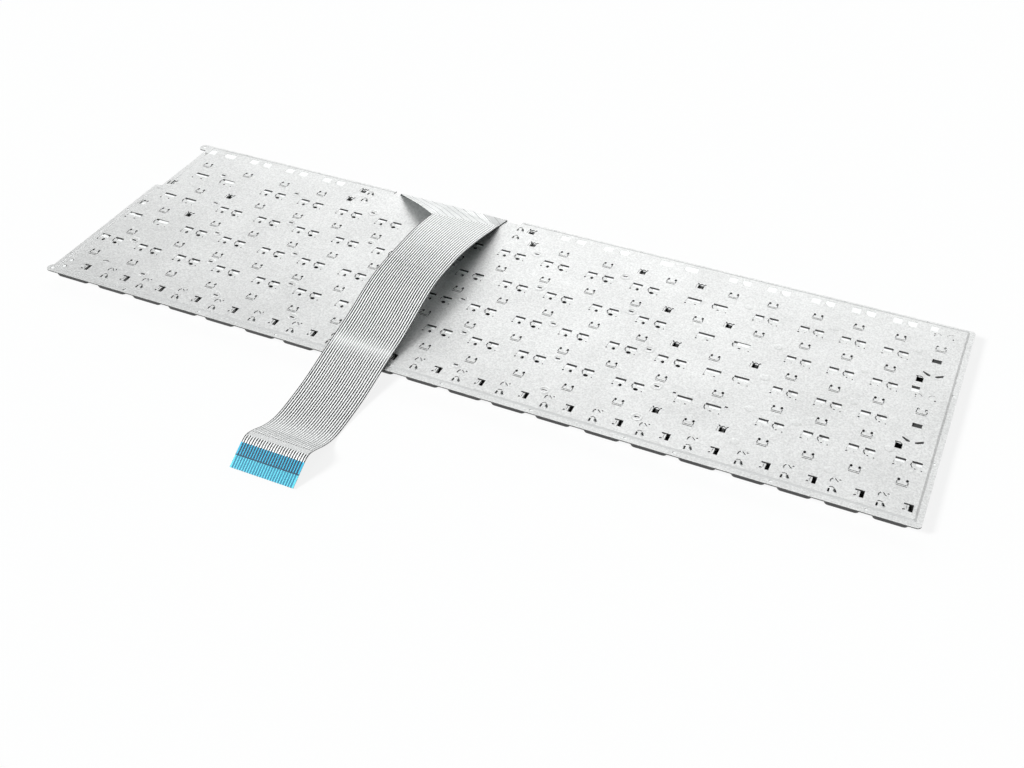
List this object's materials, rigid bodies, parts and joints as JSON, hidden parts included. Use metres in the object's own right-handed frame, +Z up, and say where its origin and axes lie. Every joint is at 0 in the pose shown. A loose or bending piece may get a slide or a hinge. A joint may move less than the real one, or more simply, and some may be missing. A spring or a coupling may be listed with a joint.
{
  "type": "laptop replacement keyboard",
  "caption": "Full-size notebook keyboard module lying face down: punched steel backplate over black scissor keys, with a flat flex tail folded over its far edge.",
  "frame": {"origin": "on the surface the keyboard lies on, under the middle of the backplate's outline", "axes": "+X along the key rows towards the number pad, +Y from the function row to the space-bar row, +Z up from the keycaps to the back"},
  "size_m": [0.3474, 0.1709, 0.0145],
  "materials": {
    "galvanised_steel": "galvanised, matt",
    "membrane_film": "milky film",
    "tail_film": "white film with grey traces",
    "blue_stiffener": "blue polyester",
    "dome_rubber": "milky silicone",
    "scissor_plastic": "moulded",
    "spring_wire": "drawn wire",
    "black_cap": "fine spark texture"
  },
  "bodies": {
    "module": {"backplate": "galvanised_steel", "flex_tail": "tail_film", "function_row_keys": "black_cap", "membrane_lower_sheet": "membrane_film", "membrane_spacer": "membrane_film", "membrane_upper_sheet": "membrane_film", "modifier_and_pad_keys": "black_cap", "rubber_domes": "dome_rubber", "scissor_inner_frames": "scissor_plastic", "scissor_outer_frames": "scissor_plastic", "stabiliser_wires": "spring_wire", "tail_stiffener": "blue_stiffener"},
    "key_0": {"key_0": "black_cap"},
    "key_1": {"key_1": "black_cap"},
    "key_2": {"key_2": "black_cap"},
    "key_3": {"key_3": "black_cap"},
    "key_4": {"key_4": "black_cap"},
    "key_5": {"key_5": "black_cap"},
    "key_6": {"key_6": "black_cap"},
    "key_7": {"key_7": "black_cap"},
    "key_8": {"key_8": "black_cap"},
    "key_9": {"key_9": "black_cap"},
    "key_a": {"key_a": "black_cap"},
    "key_b": {"key_b": "black_cap"},
    "key_backslash": {"key_backslash": "black_cap"},
    "key_bracket_left": {"key_bracket_left": "black_cap"},
    "key_bracket_right": {"key_bracket_right": "black_cap"},
    "key_c": {"key_c": "black_cap"},
    "key_comma": {"key_comma": "black_cap"},
    "key_d": {"key_d": "black_cap"},
    "key_e": {"key_e": "black_cap"},
    "key_equals": {"key_equals": "black_cap"},
    "key_f": {"key_f": "black_cap"},
    "key_g": {"key_g": "black_cap"},
    "key_grave": {"key_grave": "black_cap"},
    "key_h": {"key_h": "black_cap"},
    "key_i": {"key_i": "black_cap"},
    "key_j": {"key_j": "black_cap"},
    "key_k": {"key_k": "black_cap"},
    "key_l": {"key_l": "black_cap"},
    "key_m": {"key_m": "black_cap"},
    "key_minus": {"key_minus": "black_cap"},
    "key_n": {"key_n": "black_cap"},
    "key_o": {"key_o": "black_cap"},
    "key_p": {"key_p": "black_cap"},
    "key_period": {"key_period": "black_cap"},
    "key_q": {"key_q": "black_cap"},
    "key_quote": {"key_quote": "black_cap"},
    "key_r": {"key_r": "black_cap"},
    "key_s": {"key_s": "black_cap"},
    "key_semicolon": {"key_semicolon": "black_cap"},
    "key_slash": {"key_slash": "black_cap"},
    "key_space": {"key_space": "black_cap"},
    "key_t": {"key_t": "black_cap"},
    "key_u": {"key_u": "black_cap"},
    "key_v": {"key_v": "black_cap"},
    "key_w": {"key_w": "black_cap"},
    "key_x": {"key_x": "black_cap"},
    "key_y": {"key_y": "black_cap"},
    "key_z": {"key_z": "black_cap"}
  },
  "joints": [
    {"name": "press_0", "type": "slide", "parent": "module", "child": "key_0", "axis": [0, 0, 1], "range_m": [0, 0.0014], "stiffness_N_per_m": 300, "springref_m": -0.0003, "deforming": ["rubber_domes", "scissor_outer_frames", "scissor_inner_frames"]},
    {"name": "press_1", "type": "slide", "parent": "module", "child": "key_1", "axis": [0, 0, 1], "range_m": [0, 0.0014], "stiffness_N_per_m": 300, "springref_m": -0.0003, "deforming": ["rubber_domes", "scissor_outer_frames", "scissor_inner_frames"]},
    {"name": "press_2", "type": "slide", "parent": "module", "child": "key_2", "axis": [0, 0, 1], "range_m": [0, 0.0014], "stiffness_N_per_m": 300, "springref_m": -0.0003, "deforming": ["rubber_domes", "scissor_outer_frames", "scissor_inner_frames"]},
    {"name": "press_3", "type": "slide", "parent": "module", "child": "key_3", "axis": [0, 0, 1], "range_m": [0, 0.0014], "stiffness_N_per_m": 300, "springref_m": -0.0003, "deforming": ["rubber_domes", "scissor_outer_frames", "scissor_inner_frames"]},
    {"name": "press_4", "type": "slide", "parent": "module", "child": "key_4", "axis": [0, 0, 1], "range_m": [0, 0.0014], "stiffness_N_per_m": 300, "springref_m": -0.0003, "deforming": ["rubber_domes", "scissor_outer_frames", "scissor_inner_frames"]},
    {"name": "press_5", "type": "slide", "parent": "module", "child": "key_5", "axis": [0, 0, 1], "range_m": [0, 0.0014], "stiffness_N_per_m": 300, "springref_m": -0.0003, "deforming": ["rubber_domes", "scissor_outer_frames", "scissor_inner_frames"]},
    {"name": "press_6", "type": "slide", "parent": "module", "child": "key_6", "axis": [0, 0, 1], "range_m": [0, 0.0014], "stiffness_N_per_m": 300, "springref_m": -0.0003, "deforming": ["rubber_domes", "scissor_outer_frames", "scissor_inner_frames"]},
    {"name": "press_7", "type": "slide", "parent": "module", "child": "key_7", "axis": [0, 0, 1], "range_m": [0, 0.0014], "stiffness_N_per_m": 300, "springref_m": -0.0003, "deforming": ["rubber_domes", "scissor_outer_frames", "scissor_inner_frames"]},
    {"name": "press_8", "type": "slide", "parent": "module", "child": "key_8", "axis": [0, 0, 1], "range_m": [0, 0.0014], "stiffness_N_per_m": 300, "springref_m": -0.0003, "deforming": ["rubber_domes", "scissor_outer_frames", "scissor_inner_frames"]},
    {"name": "press_9", "type": "slide", "parent": "module", "child": "key_9", "axis": [0, 0, 1], "range_m": [0, 0.0014], "stiffness_N_per_m": 300, "springref_m": -0.0003, "deforming": ["rubber_domes", "scissor_outer_frames", "scissor_inner_frames"]},
    {"name": "press_a", "type": "slide", "parent": "module", "child": "key_a", "axis": [0, 0, 1], "range_m": [0, 0.0014], "stiffness_N_per_m": 300, "springref_m": -0.0003, "deforming": ["rubber_domes", "scissor_outer_frames", "scissor_inner_frames"]},
    {"name": "press_b", "type": "slide", "parent": "module", "child": "key_b", "axis": [0, 0, 1], "range_m": [0, 0.0014], "stiffness_N_per_m": 300, "springref_m": -0.0003, "deforming": ["rubber_domes", "scissor_outer_frames", "scissor_inner_frames"]},
    {"name": "press_backslash", "type": "slide", "parent": "module", "child": "key_backslash", "axis": [0, 0, 1], "range_m": [0, 0.0014], "stiffness_N_per_m": 300, "springref_m": -0.0003, "deforming": ["rubber_domes", "scissor_outer_frames", "scissor_inner_frames"]},
    {"name": "press_bracket_left", "type": "slide", "parent": "module", "child": "key_bracket_left", "axis": [0, 0, 1], "range_m": [0, 0.0014], "stiffness_N_per_m": 300, "springref_m": -0.0003, "deforming": ["rubber_domes", "scissor_outer_frames", "scissor_inner_frames"]},
    {"name": "press_bracket_right", "type": "slide", "parent": "module", "child": "key_bracket_right", "axis": [0, 0, 1], "range_m": [0, 0.0014], "stiffness_N_per_m": 300, "springref_m": -0.0003, "deforming": ["rubber_domes", "scissor_outer_frames", "scissor_inner_frames"]},
    {"name": "press_c", "type": "slide", "parent": "module", "child": "key_c", "axis": [0, 0, 1], "range_m": [0, 0.0014], "stiffness_N_per_m": 300, "springref_m": -0.0003, "deforming": ["rubber_domes", "scissor_outer_frames", "scissor_inner_frames"]},
    {"name": "press_comma", "type": "slide", "parent": "module", "child": "key_comma", "axis": [0, 0, 1], "range_m": [0, 0.0014], "stiffness_N_per_m": 300, "springref_m": -0.0003, "deforming": ["rubber_domes", "scissor_outer_frames", "scissor_inner_frames"]},
    {"name": "press_d", "type": "slide", "parent": "module", "child": "key_d", "axis": [0, 0, 1], "range_m": [0, 0.0014], "stiffness_N_per_m": 300, "springref_m": -0.0003, "deforming": ["rubber_domes", "scissor_outer_frames", "scissor_inner_frames"]},
    {"name": "press_e", "type": "slide", "parent": "module", "child": "key_e", "axis": [0, 0, 1], "range_m": [0, 0.0014], "stiffness_N_per_m": 300, "springref_m": -0.0003, "deforming": ["rubber_domes", "scissor_outer_frames", "scissor_inner_frames"]},
    {"name": "press_equals", "type": "slide", "parent": "module", "child": "key_equals", "axis": [0, 0, 1], "range_m": [0, 0.0014], "stiffness_N_per_m": 300, "springref_m": -0.0003, "deforming": ["rubber_domes", "scissor_outer_frames", "scissor_inner_frames"]},
    {"name": "press_f", "type": "slide", "parent": "module", "child": "key_f", "axis": [0, 0, 1], "range_m": [0, 0.0014], "stiffness_N_per_m": 300, "springref_m": -0.0003, "deforming": ["rubber_domes", "scissor_outer_frames", "scissor_inner_frames"]},
    {"name": "press_g", "type": "slide", "parent": "module", "child": "key_g", "axis": [0, 0, 1], "range_m": [0, 0.0014], "stiffness_N_per_m": 300, "springref_m": -0.0003, "deforming": ["rubber_domes", "scissor_outer_frames", "scissor_inner_frames"]},
    {"name": "press_grave", "type": "slide", "parent": "module", "child": "key_grave", "axis": [0, 0, 1], "range_m": [0, 0.0014], "stiffness_N_per_m": 300, "springref_m": -0.0003, "deforming": ["rubber_domes", "scissor_outer_frames", "scissor_inner_frames"]},
    {"name": "press_h", "type": "slide", "parent": "module", "child": "key_h", "axis": [0, 0, 1], "range_m": [0, 0.0014], "stiffness_N_per_m": 300, "springref_m": -0.0003, "deforming": ["rubber_domes", "scissor_outer_frames", "scissor_inner_frames"]},
    {"name": "press_i", "type": "slide", "parent": "module", "child": "key_i", "axis": [0, 0, 1], "range_m": [0, 0.0014], "stiffness_N_per_m": 300, "springref_m": -0.0003, "deforming": ["rubber_domes", "scissor_outer_frames", "scissor_inner_frames"]},
    {"name": "press_j", "type": "slide", "parent": "module", "child": "key_j", "axis": [0, 0, 1], "range_m": [0, 0.0014], "stiffness_N_per_m": 300, "springref_m": -0.0003, "deforming": ["rubber_domes", "scissor_outer_frames", "scissor_inner_frames"]},
    {"name": "press_k", "type": "slide", "parent": "module", "child": "key_k", "axis": [0, 0, 1], "range_m": [0, 0.0014], "stiffness_N_per_m": 300, "springref_m": -0.0003, "deforming": ["rubber_domes", "scissor_outer_frames", "scissor_inner_frames"]},
    {"name": "press_l", "type": "slide", "parent": "module", "child": "key_l", "axis": [0, 0, 1], "range_m": [0, 0.0014], "stiffness_N_per_m": 300, "springref_m": -0.0003, "deforming": ["rubber_domes", "scissor_outer_frames", "scissor_inner_frames"]},
    {"name": "press_m", "type": "slide", "parent": "module", "child": "key_m", "axis": [0, 0, 1], "range_m": [0, 0.0014], "stiffness_N_per_m": 300, "springref_m": -0.0003, "deforming": ["rubber_domes", "scissor_outer_frames", "scissor_inner_frames"]},
    {"name": "press_minus", "type": "slide", "parent": "module", "child": "key_minus", "axis": [0, 0, 1], "range_m": [0, 0.0014], "stiffness_N_per_m": 300, "springref_m": -0.0003, "deforming": ["rubber_domes", "scissor_outer_frames", "scissor_inner_frames"]},
    {"name": "press_n", "type": "slide", "parent": "module", "child": "key_n", "axis": [0, 0, 1], "range_m": [0, 0.0014], "stiffness_N_per_m": 300, "springref_m": -0.0003, "deforming": ["rubber_domes", "scissor_outer_frames", "scissor_inner_frames"]},
    {"name": "press_o", "type": "slide", "parent": "module", "child": "key_o", "axis": [0, 0, 1], "range_m": [0, 0.0014], "stiffness_N_per_m": 300, "springref_m": -0.0003, "deforming": ["rubber_domes", "scissor_outer_frames", "scissor_inner_frames"]},
    {"name": "press_p", "type": "slide", "parent": "module", "child": "key_p", "axis": [0, 0, 1], "range_m": [0, 0.0014], "stiffness_N_per_m": 300, "springref_m": -0.0003, "deforming": ["rubber_domes", "scissor_outer_frames", "scissor_inner_frames"]},
    {"name": "press_period", "type": "slide", "parent": "module", "child": "key_period", "axis": [0, 0, 1], "range_m": [0, 0.0014], "stiffness_N_per_m": 300, "springref_m": -0.0003, "deforming": ["rubber_domes", "scissor_outer_frames", "scissor_inner_frames"]},
    {"name": "press_q", "type": "slide", "parent": "module", "child": "key_q", "axis": [0, 0, 1], "range_m": [0, 0.0014], "stiffness_N_per_m": 300, "springref_m": -0.0003, "deforming": ["rubber_domes", "scissor_outer_frames", "scissor_inner_frames"]},
    {"name": "press_quote", "type": "slide", "parent": "module", "child": "key_quote", "axis": [0, 0, 1], "range_m": [0, 0.0014], "stiffness_N_per_m": 300, "springref_m": -0.0003, "deforming": ["rubber_domes", "scissor_outer_frames", "scissor_inner_frames"]},
    {"name": "press_r", "type": "slide", "parent": "module", "child": "key_r", "axis": [0, 0, 1], "range_m": [0, 0.0014], "stiffness_N_per_m": 300, "springref_m": -0.0003, "deforming": ["rubber_domes", "scissor_outer_frames", "scissor_inner_frames"]},
    {"name": "press_s", "type": "slide", "parent": "module", "child": "key_s", "axis": [0, 0, 1], "range_m": [0, 0.0014], "stiffness_N_per_m": 300, "springref_m": -0.0003, "deforming": ["rubber_domes", "scissor_outer_frames", "scissor_inner_frames"]},
    {"name": "press_semicolon", "type": "slide", "parent": "module", "child": "key_semicolon", "axis": [0, 0, 1], "range_m": [0, 0.0014], "stiffness_N_per_m": 300, "springref_m": -0.0003, "deforming": ["rubber_domes", "scissor_outer_frames", "scissor_inner_frames"]},
    {"name": "press_slash", "type": "slide", "parent": "module", "child": "key_slash", "axis": [0, 0, 1], "range_m": [0, 0.0014], "stiffness_N_per_m": 300, "springref_m": -0.0003, "deforming": ["rubber_domes", "scissor_outer_frames", "scissor_inner_frames"]},
    {"name": "press_space", "type": "slide", "parent": "module", "child": "key_space", "axis": [0, 0, 1], "range_m": [0, 0.0014], "stiffness_N_per_m": 300, "springref_m": -0.0003, "deforming": ["rubber_domes", "scissor_outer_frames", "scissor_inner_frames", "stabiliser_wires"]},
    {"name": "press_t", "type": "slide", "parent": "module", "child": "key_t", "axis": [0, 0, 1], "range_m": [0, 0.0014], "stiffness_N_per_m": 300, "springref_m": -0.0003, "deforming": ["rubber_domes", "scissor_outer_frames", "scissor_inner_frames"]},
    {"name": "press_u", "type": "slide", "parent": "module", "child": "key_u", "axis": [0, 0, 1], "range_m": [0, 0.0014], "stiffness_N_per_m": 300, "springref_m": -0.0003, "deforming": ["rubber_domes", "scissor_outer_frames", "scissor_inner_frames"]},
    {"name": "press_v", "type": "slide", "parent": "module", "child": "key_v", "axis": [0, 0, 1], "range_m": [0, 0.0014], "stiffness_N_per_m": 300, "springref_m": -0.0003, "deforming": ["rubber_domes", "scissor_outer_frames", "scissor_inner_frames"]},
    {"name": "press_w", "type": "slide", "parent": "module", "child": "key_w", "axis": [0, 0, 1], "range_m": [0, 0.0014], "stiffness_N_per_m": 300, "springref_m": -0.0003, "deforming": ["rubber_domes", "scissor_outer_frames", "scissor_inner_frames"]},
    {"name": "press_x", "type": "slide", "parent": "module", "child": "key_x", "axis": [0, 0, 1], "range_m": [0, 0.0014], "stiffness_N_per_m": 300, "springref_m": -0.0003, "deforming": ["rubber_domes", "scissor_outer_frames", "scissor_inner_frames"]},
    {"name": "press_y", "type": "slide", "parent": "module", "child": "key_y", "axis": [0, 0, 1], "range_m": [0, 0.0014], "stiffness_N_per_m": 300, "springref_m": -0.0003, "deforming": ["rubber_domes", "scissor_outer_frames", "scissor_inner_frames"]},
    {"name": "press_z", "type": "slide", "parent": "module", "child": "key_z", "axis": [0, 0, 1], "range_m": [0, 0.0014], "stiffness_N_per_m": 300, "springref_m": -0.0003, "deforming": ["rubber_domes", "scissor_outer_frames", "scissor_inner_frames"]}
  ]
}
